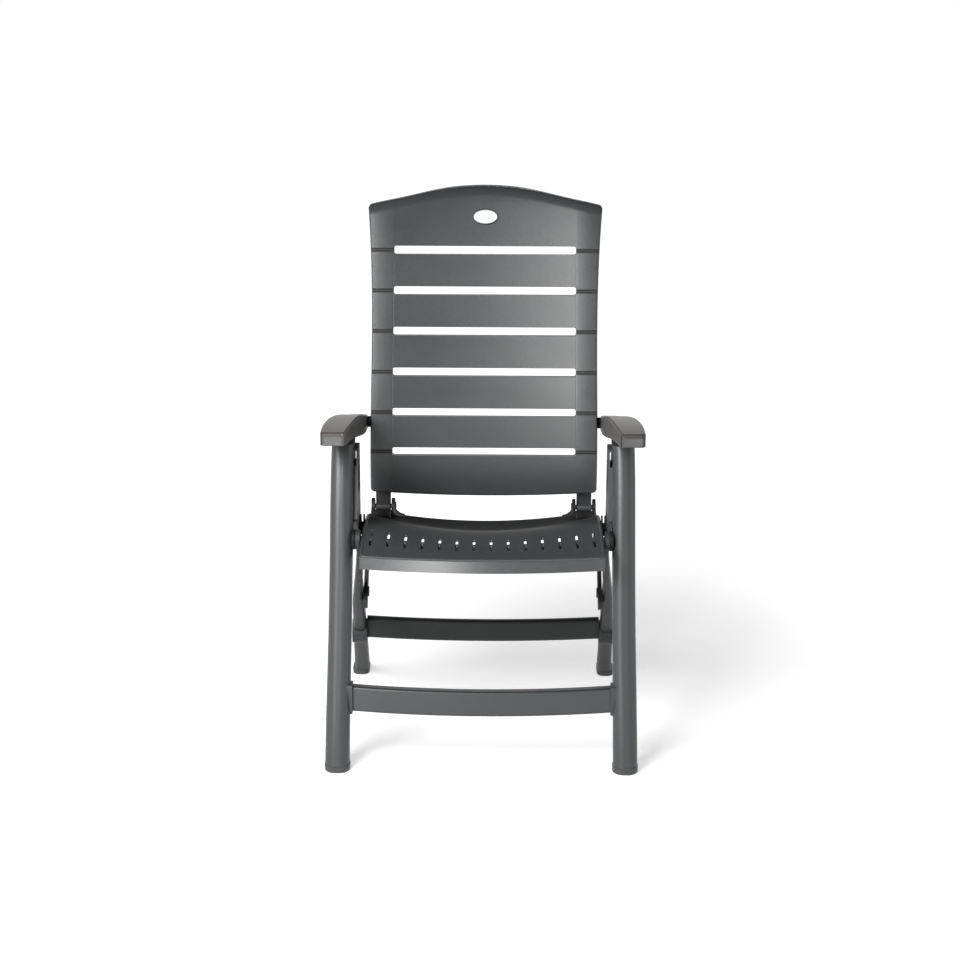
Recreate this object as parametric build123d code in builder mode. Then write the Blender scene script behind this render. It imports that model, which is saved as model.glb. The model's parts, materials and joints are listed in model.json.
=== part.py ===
"""Folding, reclining garden armchair in moulded resin.

Sizes are in millimetres. +X is the sitter's left, +Y is towards the back, +Z is up,
and the chair stands on the plane Z = 0. In side view every place is counted from the
line through the middles of the front feet. "Right" names the pieces on the +X side.
"""

import os
from math import atan2, cos, degrees, hypot, radians, sin

from build123d import *

os.makedirs("parts", exist_ok=True)

# Overall
leg_base = 570.0  # front foot to rear foot, middle to middle
back_top_height = 1106.0
seat_half_width = 242.0
leg_foot_wide, leg_foot_deep = 49.0, 50.0  # front leg at its foot
foot_cap_rim = 1.2  # the feet's caps stand out this much all round
back_reach = 622.0  # the backrest's rearmost place, counted from the front feet
mid_depth = (back_reach - leg_foot_deep / 2 - foot_cap_rim) / 2

# Pivots in side view: depth behind the front feet, height
leg_pivot_y, leg_pivot_z = 100.0, 452.0
seat_pivot_y, seat_pivot_z = 203.0, 446.0
back_pivot_y, back_pivot_z = 415.0, 434.0
arm_pivot_y, arm_pivot_z = 430.0, 618.0
# The arm rests on a nose that closes the parallelogram of seat, back, arm and leg
arm_rest_y = arm_pivot_y - back_pivot_y + seat_pivot_y
arm_rest_z = arm_pivot_z - back_pivot_z + seat_pivot_z
link_top_y, link_top_z = 358.0, 372.0
link_foot_share, link_foot_rise = 0.372, 2.1  # down the rear leg, and above its middle line

# Clearances
pin_gap = 0.05  # radial, between a pin and the bore that turns on it
side_gap = 0.4  # between pieces that turn side by side
seat_on_gap = 0.3  # between curved faces that almost touch
notch_gap = 0.4  # between the arm's teeth and the nose they pass over
overrun = 5.0  # how far a cutting shape runs past what it cuts

# Stack across the chair, from the seat outwards
link_thick = 8.2
leg_eye_thick = 8.6
spacer_thick = 7.2
pin_head_radius, pin_head_thick = 9.0, 2.4
link_inner_x = seat_half_width + side_gap * 2
link_outer_x = link_inner_x + link_thick
eye_inner_x = seat_half_width + pin_head_thick + side_gap * 2.5
eye_outer_x = eye_inner_x + leg_eye_thick
leg_face_x = eye_outer_x + side_gap + spacer_thick  # inner face of the front leg


def at(y):
    """Depth counted from the front feet, as a place in the chair's own frame."""
    return y - mid_depth


def side_plane(x):
    """Vertical plane across the chair at x; its own axes are depth and height."""
    return Plane((x, at(0), 0), x_dir=(0, 1, 0), z_dir=(1, 0, 0))


def front_plane(y):
    """Upright plane facing forwards; its own axes are width and height."""
    return Plane((0, at(y), 0), x_dir=(1, 0, 0), z_dir=(0, -1, 0))


def level_plane(x, y, z):
    """Level plane with its origin at one place."""
    return Plane((x, at(y), z), x_dir=(1, 0, 0), z_dir=(0, 0, 1))


def along(start, end, distance):
    """Point on the straight line from start towards end, in side view."""
    length = hypot(end[0] - start[0], end[1] - start[1])
    step = distance / length
    return start[0] + (end[0] - start[0]) * step, start[1] + (end[1] - start[1]) * step


def save(part, label, file_name):
    part.label = label
    export_step(part, "parts/" + file_name + ".step")


def save_both_sides(part, name):
    """Store the piece on the +X side and its mirror image on the -X side."""
    save(part, name + " right", name.replace(" ", "_") + "_right")
    with BuildPart() as twin:
        mirror(part, about=Plane.YZ)
    save(twin.part, name + " left", name.replace(" ", "_") + "_left")


# Line of the rear leg, with the places on it of the crossbar and the lower link pin
leg_line = ((leg_pivot_y, leg_pivot_z), (leg_base, 0))
rear_length = hypot(leg_base - leg_pivot_y, leg_pivot_z)
rear_slope = atan2(leg_pivot_z, leg_base - leg_pivot_y)
link_foot_y, link_foot_z = along(*leg_line, rear_length * link_foot_share)
link_foot_z += link_foot_rise

# Crossbars
front_bar_y, front_bar_z = 30.0, 142.0
front_bar_tall, front_bar_thick, front_bar_edge = 53.0, 22.0, 5.0
front_bar_bow_out, front_bar_bow_down = 10.0, 6.0
front_bar_end_x = leg_face_x - 2.6
rear_bar_share = 0.636
rear_bar_y, rear_bar_z = along(*leg_line, rear_length * rear_bar_share)
rear_bar_tall, rear_bar_thick, rear_bar_edge = 48.5, 24.0, 10.0
rear_bar_bow_out, rear_bar_bow_down = 4.0, 6.0
rear_bar_end_x = leg_face_x - 8.4

# Pins, spacers and bushes
leg_pin_radius = 5.0
seat_pin_radius = 4.5
link_pin_radius = 4.0
pin_seat = 14.0  # how far a pin runs into what holds it
spacer_radius = 20.0
bush_inner_x = seat_half_width + side_gap
seat_bush_radius, horn_reach, horn_wide, horn_thick = 14.0, 23.0, 14.0, 3.4
seat_boss_thick = 12.0

# Rear legs
eye_radius = 20.0
rear_neck_x, rear_neck_wide = leg_face_x - 7.0, 15.6
rear_waist_x, rear_waist_wide = leg_face_x - 1.2, 17.2
rear_mid_x, rear_mid_wide = leg_face_x + 3.2, 24.4
rear_foot_x, rear_foot_wide = leg_face_x + 17.0, 35.0
rear_deep = 40.0
rear_corner_share = 0.4
rear_boss_radius, rear_boss_thick, rear_boss_drop = 27.0, 32.0, 10.0

# Backrest
back_low_y, back_low_z = 411.0, 466.0
back_roll = 9.0  # the rolled top's rear face stands this far behind the middle line's end
back_run = back_reach - back_roll - back_low_y
back_height = back_top_height - back_low_z
back_line_shares = (  # depth share and height share, from below the lower edge up
    (-0.005, -0.04),
    (-0.04, 0.08),
    (0.04, 0.27),
    (0.29, 0.5),
    (0.6, 0.75),
    (0.83, 0.92),
    (0.925, 0.975),
    (1.0, 1.0),
)
back_panel_thick, back_rail_thick, back_rail_wide = 12.0, 22.0, 36.0
back_edge_radius = 4.0
groove_long, groove_wide, groove_deep, groove_pitch = 60.0, 3.2, 2.0, 4.6
# Half widths of the board and the heights they are at
back_low_half = seat_half_width + 1.0
back_waist_half, back_waist_share = seat_half_width - 0.4, 0.42
back_flare_half, back_flare_share = seat_half_width + 1.8, 0.75
back_corner_half = seat_half_width + 11.5
back_shoulder_z = back_top_height - 41.0
back_edge_z, back_low_bow = back_low_z + 5.5, 8.0  # lower edge of the board
crown_shares = ((0.9, 0.14), (0.735, 0.34), (0.39, 0.79))  # of half width and of the crown's rise
back_corner_radius = 9.0
back_pin_radius = 5.0
back_slot_count, back_slot_pitch, back_slot_wide = 6, back_height * 0.12891, 17.4
back_slot_corner = 4.5
back_slot_long = back_waist_half * 2 - 92.0
slot_first_z = back_low_z + back_height * 0.14844  # middle of the lowest slot
badge_z, badge_wide, badge_tall = back_top_height - 63.2, 55.0, 31.5
badge_thick, badge_ring_thick, badge_ring_wide = 1.6, 2.4, 2.0
badge_reach_y = back_low_y + back_run * 0.79  # inside the board at the badge's height
tongue_inner_x = seat_half_width - 41.0
tongue_wide, tongue_radius = 32.0, 12.5
tongue_thick, tongue_top_z = 8.0, back_low_z + 50.0

# Arms
arm_inner_x = seat_half_width + 7.5
arm_flare, arm_front_wide, arm_rest_wide, arm_rear_wide = 20.0, 49.0, 55.0, 40.0
arm_front_y, arm_front_low_z, arm_front_top_z = 55.0, arm_rest_z + 26.0, arm_rest_z + 52.0
arm_top_z = arm_rest_z + 54.8
arm_wall, arm_corner_radius, arm_top_radius = 3.6, 11.0, 4.6
arm_boss_radius, arm_boss_thick, arm_pin_radius = 16.0, 14.0, 5.0
arm_top_fall = arm_top_z - arm_pivot_z - arm_boss_radius
arm_bush_radius = 12.0
arm_bush_inner_x = seat_half_width + 0.6
# Reclining: the back's full turn, and how much of it each arm turns back again
recline_limit, arm_follow_ratio = 28.0, 0.87
notch_count, notch_deep = 5, 4.0
rack_thick, rack_tall, rack_end = 14.0, 60.0, 12.0

# Seat: stations down its depth, with the heights of its middle and of its sides
seat_front_y, seat_rear_y = 20.0, back_pivot_y - 23.0
seat_wall = 5.0
seat_skirt_z, seat_skirt_bow = 415.0, 8.0  # lower edge of the front lip, and its droop
seat_height = 434.0  # top of the lip's front edge, in the middle
seat_rise = 12.0  # unit of the seat's curves
seat_station_shares = (  # depth share, middle height share and side height share
    (0.0, 0.0, 0.6),
    (0.07, 0.55, 1.35),
    (0.28, 0.6, 2.4),
    (0.5, 0.0, 2.5),
    (0.75, -1.7, 1.3),
    (0.92, -2.8, -0.25),
    (1.0, -2.1, -0.1),
)
seat_slot_count, seat_slot_wide = 14, 5.4
seat_slot_pitch = seat_half_width * 2 * 0.0711
seat_slot_rows = ((121.0, 40.0), (74.0, 30.0))  # depth and length of each row's slots
seat_skirt_drop = 52.0  # the side skirts hang lower towards the rear
seat_rear_edge_z = 388.0  # lower edge of the rear wall between them
ear_radius, ear_thick = 18.0, 6.8
ear_inner_x = seat_half_width - 50.3
ear_outer_x = seat_half_width - ear_thick
web_rise, web_reach, web_deep, web_share = 12.0, 22.0, 12.0, 0.28  # curved webs inside the inner ears

# Links: their lower holes are loose, since the fold is opened there
link_wide, link_play, link_tail = 26.0, 3.6, 26.0
link_hole_y, link_hole_z = link_foot_y - 2.3, link_foot_z + 1.3
lower_head_radius = 11.0

# Front legs: a round-cornered post that leans back, with a wing at its top
leg_foot_x = leg_face_x + 27.6
leg_mid_x, leg_mid_wide, leg_mid_deep = leg_face_x + 22.6, 46.4, 44.0
leg_top_x, leg_top_wide, leg_top_deep = leg_face_x + 21.2, 45.0, 74.0
nose_radius, nose_thick = 6.0, 34.0
post_rise = 4.0  # the post's top stands this much above the nose's middle
leg_top_z = arm_rest_z + post_rise
wing_inner_x = seat_half_width + 10.6
wing_outer_x = leg_top_x
slit_inner_x, slit_wide, slit_tall = wing_inner_x + 3.4, 5.0, 30.0
bar_boss_deep, boss_margin = 34.0, 4.0
foot_cap_height = 14.0
leg_corner_share = 0.42
wing_rear_y = arm_rest_y + 4.0
pivot_boss_radius = 22.0

# Centre line of the front leg in side view: height share and lean share of the top lean
leg_top_front_y = 152.0
leg_lean = leg_top_front_y + leg_top_deep / 2
leg_line_shares = ((0.0, 0.0), (0.25, 0.17), (0.5, 0.375), (0.72, 0.60), (1.0, 1.0))


def between(share, first, middle, last):
    """Size part-way up a leg: straight from first to middle and from middle to last."""
    if share < 0.5:
        return first + (middle - first) * share * 2
    return middle + (last - middle) * (share - 0.5) * 2


with BuildPart() as front_leg:
    leg_run = leg_top_z - foot_cap_height
    for height_share, lean_share in leg_line_shares:
        wide = between(height_share, leg_foot_wide, leg_mid_wide, leg_top_wide)
        deep = between(height_share, leg_foot_deep, leg_mid_deep, leg_top_deep)
        middle_x = between(height_share, leg_foot_x, leg_mid_x, leg_top_x)
        height = foot_cap_height + leg_run * height_share
        with BuildSketch(level_plane(middle_x, leg_lean * lean_share, height)):
            RectangleRounded(wide, deep, min(wide, deep) * leg_corner_share)
    loft()
    # Wing behind and inboard of the post, down to the seat pivot
    with BuildSketch(side_plane(wing_inner_x)):
        with BuildLine():
            Polyline(
                (leg_top_front_y + leg_mid_deep / 2, arm_rest_z - nose_radius),
                (wing_rear_y, arm_rest_z - nose_radius),
                (seat_pivot_y + pivot_boss_radius, seat_pivot_z + pivot_boss_radius),
                (seat_pivot_y + pivot_boss_radius, seat_pivot_z - pivot_boss_radius / 2),
                (seat_pivot_y - pivot_boss_radius / 2, seat_pivot_z - pivot_boss_radius),
                (leg_pivot_y + pivot_boss_radius, leg_pivot_z + pivot_boss_radius * 1.5),
                close=True,
            )
        make_face()
        fillet(vertices(), radius=pivot_boss_radius / 3)
    extrude(amount=wing_outer_x - wing_inner_x)
    # Room for the rear leg's eye and spacer beside the post
    with BuildSketch(side_plane(leg_face_x)):
        with Locations((leg_pivot_y, leg_pivot_z)):
            Circle(pivot_boss_radius + nose_radius)
    extrude(amount=wing_inner_x - leg_face_x - overrun, mode=Mode.SUBTRACT)
    # Nose that carries the arm
    with BuildSketch(side_plane(leg_top_x - nose_thick / 2)):
        with Locations((arm_rest_y, arm_rest_z)):
            Circle(nose_radius)
        with Locations((arm_rest_y, arm_rest_z - nose_radius)):
            Rectangle(nose_radius * 2, nose_radius * 2)
    extrude(amount=nose_thick)
    # Slit between the wing and the post, just under the arm
    slit_z = arm_rest_z - nose_radius * 2 - slit_tall / 2
    with BuildSketch(front_plane(0)):
        with Locations((slit_inner_x + slit_wide / 2, slit_z)):
            SlotOverall(slit_tall, slit_wide, rotation=90)
    extrude(amount=-leg_base, mode=Mode.SUBTRACT)
    # Flat boss that takes the end of the front crossbar
    with BuildSketch(side_plane(front_bar_end_x)):
        with Locations((front_bar_y, front_bar_z)):
            RectangleRounded(bar_boss_deep, front_bar_tall + boss_margin * 2, boss_margin)
    extrude(amount=leg_mid_wide / 2)
    # Seats for the leg pivot pin and the seat pivot pin
    with BuildSketch(side_plane(leg_face_x - overrun)):
        with Locations((leg_pivot_y, leg_pivot_z)):
            Circle(leg_pin_radius + pin_gap)
    extrude(amount=overrun + pin_seat, mode=Mode.SUBTRACT)
    with BuildSketch(side_plane(wing_inner_x - overrun)):
        with Locations((seat_pivot_y, seat_pivot_z)):
            Circle(seat_pin_radius + pin_gap)
    extrude(amount=overrun + pin_seat, mode=Mode.SUBTRACT)
save_both_sides(front_leg.part, "front leg")

with BuildPart() as front_foot_cap:
    with BuildSketch(level_plane(leg_foot_x, 0, 0)):
        cap_wide = leg_foot_wide + foot_cap_rim * 2
        cap_deep = leg_foot_deep + foot_cap_rim * 2
        RectangleRounded(cap_wide, cap_deep, cap_wide * leg_corner_share)
    extrude(amount=foot_cap_height)
    chamfer(front_foot_cap.faces().sort_by(Axis.Z)[0].edges(), length=foot_cap_rim * 2)
save_both_sides(front_foot_cap.part, "front foot cap")


def bowed_bar(half_length, tall, thick, y, z, bow_out, bow_down, edge_radius):
    """Bar across the chair with flat ends, bowed forwards and downwards."""
    with BuildPart() as bar:
        with BuildSketch(level_plane(0, y, z - tall)):
            with BuildLine():
                near, far = -thick / 2, thick / 2
                ThreePointArc((-half_length, near), (0, near - bow_out), (half_length, near))
                Line((half_length, near), (half_length, far))
                ThreePointArc((half_length, far), (0, far - bow_out), (-half_length, far))
                Line((-half_length, far), (-half_length, near))
            make_face()
        extrude(amount=tall * 2)
        with BuildSketch(front_plane(y + thick)):
            with BuildLine():
                low, high = z - tall / 2, z + tall / 2
                ThreePointArc((-half_length, low), (0, low - bow_down), (half_length, low))
                Line((half_length, low), (half_length, high))
                ThreePointArc((half_length, high), (0, high - bow_down), (-half_length, high))
                Line((-half_length, high), (-half_length, low))
            make_face()
        extrude(amount=thick * 2 + bow_out, mode=Mode.INTERSECT)
        long_edges = bar.edges().filter_by(lambda edge: edge.length > half_length)
        fillet(long_edges, radius=edge_radius)
    return bar.part


front_bar = bowed_bar(
    front_bar_end_x, front_bar_tall, front_bar_thick, front_bar_y, front_bar_z,
    front_bar_bow_out, front_bar_bow_down, front_bar_edge,
)
save(front_bar, "front crossbar", "front_crossbar")


def cross_pin(y, z, inner_x, outer_x, radius, head_radius, head_thick, head_inside):
    """Pin across the chair with a low domed head at one end."""
    with BuildPart() as pin:
        with BuildSketch(side_plane(inner_x)):
            with Locations((y, z)):
                Circle(radius)
        extrude(amount=outer_x - inner_x)
        head_x = inner_x - head_thick if head_inside else outer_x
        with BuildSketch(side_plane(head_x)):
            with Locations((y, z)):
                Circle(head_radius)
        extrude(amount=head_thick)
        face = pin.faces().sort_by(Axis.X)[0 if head_inside else -1]
        fillet(face.edges(), radius=head_thick * 0.45)
    return pin.part


# Leg pivot: pin fixed in the front leg, black spacer, rear leg's eye
leg_pin = cross_pin(
    leg_pivot_y, leg_pivot_z, eye_inner_x - side_gap, leg_face_x + pin_seat,
    leg_pin_radius, pin_head_radius, pin_head_thick, True,
)
save_both_sides(leg_pin, "leg pivot pin")

with BuildPart() as leg_spacer:
    with BuildSketch(side_plane(leg_face_x - spacer_thick)):
        with Locations((leg_pivot_y, leg_pivot_z)):
            Circle(spacer_radius)
            Circle(leg_pin_radius + pin_gap, mode=Mode.SUBTRACT)
    extrude(amount=spacer_thick)
    rims = leg_spacer.edges().filter_by(GeomType.CIRCLE).group_by(SortBy.RADIUS)[-1]
    fillet(rims, radius=spacer_thick / 5)
save_both_sides(leg_spacer.part, "leg pivot spacer")

# Seat pivot: pin fixed in the wing, black bush with two horns
with BuildPart() as seat_bush:
    with BuildSketch(side_plane(bush_inner_x)):
        with Locations((seat_pivot_y, seat_pivot_z)):
            Circle(seat_bush_radius)
    extrude(amount=wing_inner_x - bush_inner_x)
    for horn_x in (bush_inner_x, wing_inner_x - horn_thick):
        with BuildSketch(side_plane(horn_x)):
            with Locations((seat_pivot_y, seat_pivot_z + horn_reach / 2)):
                SlotOverall(horn_reach + horn_wide, horn_wide, rotation=90)
        extrude(amount=horn_thick)
    with BuildSketch(side_plane(bush_inner_x)):
        with Locations((seat_pivot_y, seat_pivot_z)):
            Circle(seat_pin_radius + pin_gap)
    extrude(amount=wing_inner_x - bush_inner_x, mode=Mode.SUBTRACT)
save_both_sides(seat_bush.part, "seat pivot bush")

seat_pin = cross_pin(
    seat_pivot_y, seat_pivot_z, seat_half_width - seat_boss_thick - side_gap, wing_inner_x + pin_seat,
    seat_pin_radius, pin_head_radius * 0.8, pin_head_thick, True,
)
save_both_sides(seat_pin, "seat pivot pin")

# Rear legs: an eye at the top, growing to a broad foot
eye_middle_x = (eye_inner_x + eye_outer_x) / 2
# Stations down the leg: share of its length, middle, width and depth
rear_stations = (
    (0.0, eye_middle_x, leg_eye_thick, eye_radius * 1.6),
    (0.05, eye_middle_x, leg_eye_thick, eye_radius * 1.7),
    (0.20, rear_neck_x, rear_neck_wide, rear_deep),
    (0.30, rear_waist_x, rear_waist_wide, rear_deep),
    (0.42, rear_mid_x, rear_mid_wide, rear_deep),
    (1.06, rear_foot_x, rear_foot_wide, rear_deep),
)

with BuildPart() as rear_leg:
    for share, middle_x, wide, deep in rear_stations:
        depth, height = along(*leg_line, rear_length * share)
        section = Plane(
            (middle_x, at(depth), height), x_dir=(1, 0, 0), z_dir=(0, cos(rear_slope), -sin(rear_slope))
        )
        with BuildSketch(section):
            RectangleRounded(wide, deep, wide * rear_corner_share)
    loft(ruled=True)
    with BuildSketch(side_plane(eye_inner_x)):
        with Locations((leg_pivot_y, leg_pivot_z)):
            Circle(eye_radius)
    extrude(amount=leg_eye_thick)
    # Boss that takes the end of the rear crossbar
    with BuildSketch(side_plane(rear_bar_end_x)):
        with Locations((rear_bar_y, rear_bar_z - rear_boss_drop)):
            Circle(rear_boss_radius)
    extrude(amount=rear_boss_thick)
    # Foot cut level for its cap
    with BuildSketch(level_plane(rear_foot_x, leg_base, foot_cap_height)):
        Rectangle(leg_base, leg_base)
    extrude(amount=-leg_base, mode=Mode.SUBTRACT)
    with BuildSketch(side_plane(eye_inner_x - overrun)):
        with Locations((leg_pivot_y, leg_pivot_z)):
            Circle(leg_pin_radius + pin_gap)
    extrude(amount=leg_eye_thick + overrun * 2, mode=Mode.SUBTRACT)
    with BuildSketch(side_plane(link_outer_x)):
        with Locations((link_foot_y, link_foot_z)):
            Circle(link_pin_radius + pin_gap)
    extrude(amount=side_gap + pin_seat + overrun, mode=Mode.SUBTRACT)
save_both_sides(rear_leg.part, "rear leg")

with BuildPart() as rear_foot_cap:
    with BuildSketch(level_plane(rear_foot_x, leg_base - foot_cap_height / 2, 0)):
        cap_wide = rear_foot_wide + foot_cap_rim * 2
        cap_deep = rear_deep / sin(rear_slope) + foot_cap_rim * 2
        RectangleRounded(cap_wide, cap_deep, cap_wide * rear_corner_share)
    extrude(amount=foot_cap_height)
    chamfer(rear_foot_cap.faces().sort_by(Axis.Z)[0].edges(), length=foot_cap_rim * 2)
save_both_sides(rear_foot_cap.part, "rear foot cap")

rear_bar = bowed_bar(
    rear_bar_end_x, rear_bar_tall, rear_bar_thick, rear_bar_y, rear_bar_z,
    rear_bar_bow_out, rear_bar_bow_down, rear_bar_edge,
)
save(rear_bar, "rear crossbar", "rear_crossbar")

# Link plates between the seat's rear and the rear legs, with a loose lower hole
with BuildPart() as link_plate:
    link_top, link_foot = (link_top_y, link_top_z), (link_foot_y, link_foot_z)
    link_length = hypot(link_top_y - link_foot_y, link_top_z - link_foot_z) + link_tail
    with BuildSketch(side_plane(link_inner_x)):
        with Locations(along(link_top, link_foot, link_length / 2)):
            link_slope = degrees(atan2(link_top_z - link_foot_z, link_top_y - link_foot_y))
            SlotCenterToCenter(link_length, link_wide, rotation=link_slope)
        with Locations(link_top):
            Circle(link_pin_radius + pin_gap, mode=Mode.SUBTRACT)
        with Locations((link_hole_y, link_hole_z)):
            Circle(link_pin_radius + link_play, mode=Mode.SUBTRACT)
    extrude(amount=link_thick)
save_both_sides(link_plate.part, "link plate")

upper_link_pin = cross_pin(
    link_top_y, link_top_z, seat_half_width - seat_boss_thick, link_outer_x + side_gap,
    link_pin_radius, pin_head_radius, pin_head_thick, False,
)
save_both_sides(upper_link_pin, "upper link pin")

lower_link_pin = cross_pin(
    link_foot_y, link_foot_z, link_inner_x - side_gap, link_outer_x + side_gap + pin_seat,
    link_pin_radius, lower_head_radius, pin_head_thick, True,
)
save_both_sides(lower_link_pin, "lower link pin")

# Seat: dished shell with skirts, slots and four ears for the back hinge
seat_depth = seat_rear_y - seat_front_y


def seat_block(inset, bottom_z):
    """Block under the seat's dished top, all its sides moved in by inset."""
    half = seat_half_width - inset
    with BuildPart() as block:
        for depth_share, middle_share, side_share in seat_station_shares:
            depth = seat_front_y + inset + (seat_depth - inset * 2) * depth_share
            middle = seat_height + seat_rise * middle_share - inset
            side = seat_height + seat_rise * side_share - inset
            with BuildSketch(front_plane(depth)):
                with BuildLine():
                    ThreePointArc((-half, side), (0, middle), (half, side))
                    Polyline((half, side), (half, bottom_z), (-half, bottom_z), (-half, side))
                make_face()
        loft()
    return block.part


seat_outside = seat_block(0, seat_skirt_z - seat_skirt_drop)
seat_inside = seat_block(seat_wall, seat_skirt_z - seat_skirt_drop - overrun)

with BuildPart() as seat_shell:
    add(seat_outside)
    add(seat_inside, mode=Mode.SUBTRACT)
    # Lower edge: short at the front, deeper at the rear
    with BuildSketch(side_plane(-seat_half_width - overrun)):
        with BuildLine():
            Polyline(
                (seat_front_y - overrun, seat_skirt_z),
                (link_foot_y, seat_skirt_z),
                (link_top_y - link_wide, seat_skirt_z - seat_skirt_drop),
                (seat_rear_y + overrun, seat_skirt_z - seat_skirt_drop),
                (seat_rear_y + overrun, seat_skirt_z - seat_skirt_drop * 2),
                (seat_front_y - overrun, seat_skirt_z - seat_skirt_drop * 2),
                close=True,
            )
        make_face()
    extrude(amount=(seat_half_width + overrun) * 2, mode=Mode.SUBTRACT)
    # The front lip's lower edge droops in the middle
    with BuildSketch(front_plane(seat_front_y)):
        with BuildLine():
            lip_low, lip_high = seat_skirt_z, seat_skirt_z + seat_wall
            ThreePointArc(
                (-seat_half_width, lip_low), (0, lip_low - seat_skirt_bow), (seat_half_width, lip_low)
            )
            Line((seat_half_width, lip_low), (seat_half_width, lip_high))
            Line((seat_half_width, lip_high), (-seat_half_width, lip_high))
            Line((-seat_half_width, lip_high), (-seat_half_width, lip_low))
        make_face()
    extrude(amount=-seat_wall)
    # Rows of short slots across the dish
    with BuildSketch(level_plane(0, 0, seat_skirt_z)):
        for row_y, slot_long in seat_slot_rows:
            with Locations((0, row_y)):
                with GridLocations(seat_slot_pitch, 0, seat_slot_count, 1):
                    SlotOverall(slot_long, seat_slot_wide, rotation=90)
    extrude(amount=leg_base, mode=Mode.SUBTRACT)
    # Rear wall: shallow between the side skirts
    with BuildSketch(front_plane(seat_rear_y - seat_wall * 2)):
        with Locations((0, seat_rear_edge_z - seat_skirt_drop)):
            Rectangle((seat_half_width - seat_wall) * 2, seat_skirt_drop * 2)
    extrude(amount=-(seat_wall * 2 + overrun), mode=Mode.SUBTRACT)
    # Bosses for the seat pivots and the upper link pins, and the hinge ears
    for side in (-1, 1):
        boss_start = seat_half_width * side
        for boss_y, boss_z, boss_radius in (
            (seat_pivot_y, seat_pivot_z, seat_pin_radius * 2),
            (link_top_y, link_top_z, link_pin_radius * 2),
        ):
            with BuildSketch(side_plane(boss_start)):
                with Locations((boss_y, boss_z)):
                    Circle(boss_radius)
            extrude(amount=-seat_boss_thick * side)
        for ear_x in (ear_inner_x, ear_outer_x):
            with BuildSketch(side_plane(ear_x * side)):
                with BuildLine():
                    Polyline(
                        (back_pivot_y, back_pivot_z - ear_radius),
                        (back_pivot_y, back_pivot_z + ear_radius),
                        (seat_rear_y - seat_wall, seat_height - seat_rise * 0.5),
                        (seat_rear_y - seat_wall, seat_skirt_z - seat_wall),
                        close=True,
                    )
                make_face()
                with Locations((back_pivot_y, back_pivot_z)):
                    Circle(ear_radius)
            extrude(amount=ear_thick * side)
        with BuildSketch(front_plane(seat_rear_y + web_deep)):
            with BuildLine():
                web_low, web_top = seat_skirt_z + seat_wall, back_pivot_z + web_rise
                web_end_x = ear_inner_x - web_reach
                web_middle = (
                    (ear_inner_x - web_reach * web_share) * side, web_low + (web_top - web_low) * web_share
                )
                ThreePointArc(
                    (ear_inner_x * side, web_top), web_middle, (web_end_x * side, web_low),
                )
                Polyline(
                    (web_end_x * side, web_low),
                    (web_end_x * side, seat_skirt_z),
                    ((ear_inner_x + seat_wall) * side, seat_skirt_z),
                    ((ear_inner_x + seat_wall) * side, web_low),
                    (ear_inner_x * side, web_top),
                )
            make_face()
        extrude(amount=web_deep + seat_wall)
        for bore_y, bore_z, bore_radius, bore_deep in (
            (seat_pivot_y, seat_pivot_z, seat_pin_radius, seat_boss_thick),
            (link_top_y, link_top_z, link_pin_radius, seat_boss_thick),
            (back_pivot_y, back_pivot_z, back_pin_radius, seat_half_width - ear_inner_x),
        ):
            with BuildSketch(side_plane(boss_start + overrun * side)):
                with Locations((bore_y, bore_z)):
                    Circle(bore_radius + pin_gap)
            extrude(amount=-(bore_deep + overrun * 2) * side, mode=Mode.SUBTRACT)
save(seat_shell.part, "seat shell", "seat_shell")

# Back hinge: pins through the ears and the tongues
back_pin = cross_pin(
    back_pivot_y, back_pivot_z, ear_inner_x - side_gap, seat_half_width,
    back_pin_radius, pin_head_radius, pin_head_thick, True,
)
save_both_sides(back_pin, "back hinge pin")

# Backrest: centre line in side view, from below its lower edge to its rolled top
back_line = [
    (back_low_y + back_run * run_share, back_low_z + back_height * height_share)
    for run_share, height_share in back_line_shares
]


def back_board(thick):
    """Board of one thickness along the backrest's centre line, over the whole width."""
    with BuildPart() as board:
        with BuildSketch(side_plane(-back_corner_half - overrun)):
            with BuildLine():
                Spline(*back_line)
            trace(line_width=thick)
        extrude(amount=(back_corner_half + overrun) * 2)
    return board.part


def back_outline(inset):
    """Front view of the backrest, all its edges moved in by inset."""
    low, high = back_edge_z + inset, back_top_height - inset
    corner, shoulder = back_corner_half - inset, back_shoulder_z - inset
    side = [
        (back_low_half - inset, low),
        (back_waist_half - inset, low + (shoulder - low) * back_waist_share),
        (back_flare_half - inset, low + (shoulder - low) * back_flare_share),
        (corner, shoulder),
    ]
    crown = [(corner * across, shoulder + (high - shoulder) * up) for across, up in crown_shares]
    with BuildSketch(front_plane(0)) as outline:
        with BuildLine():
            Spline(*side)
            Spline(side[-1], *crown, (0, high), *[(-x, z) for x, z in reversed(crown)], (-corner, shoulder))
            Spline(*[(-x, z) for x, z in reversed(side)])
            ThreePointArc((-side[0][0], low), (0, low - back_low_bow), side[0])
        make_face()
        fillet(outline.vertices(), radius=back_corner_radius)
    return outline.sketch


def front_prism(outline):
    """Outline in front view, run through the whole depth of the backrest."""
    with BuildPart() as prism:
        extrude(outline, amount=-leg_base * 2)
    return prism.part


board = back_board(back_rail_thick)
outline_prism = front_prism(back_outline(0))
pocket_prism = front_prism(back_outline(back_rail_wide))
tongue_cut = back_board(back_rail_thick + seat_on_gap * 2)
groove_skin = back_board(back_rail_thick + groove_deep)

# Pocket in the back of the board, between its rails
with BuildPart() as rear_pocket:
    with Locations((0, back_panel_thick, 0)):
        add(board)
    add(pocket_prism, mode=Mode.INTERSECT)

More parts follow.
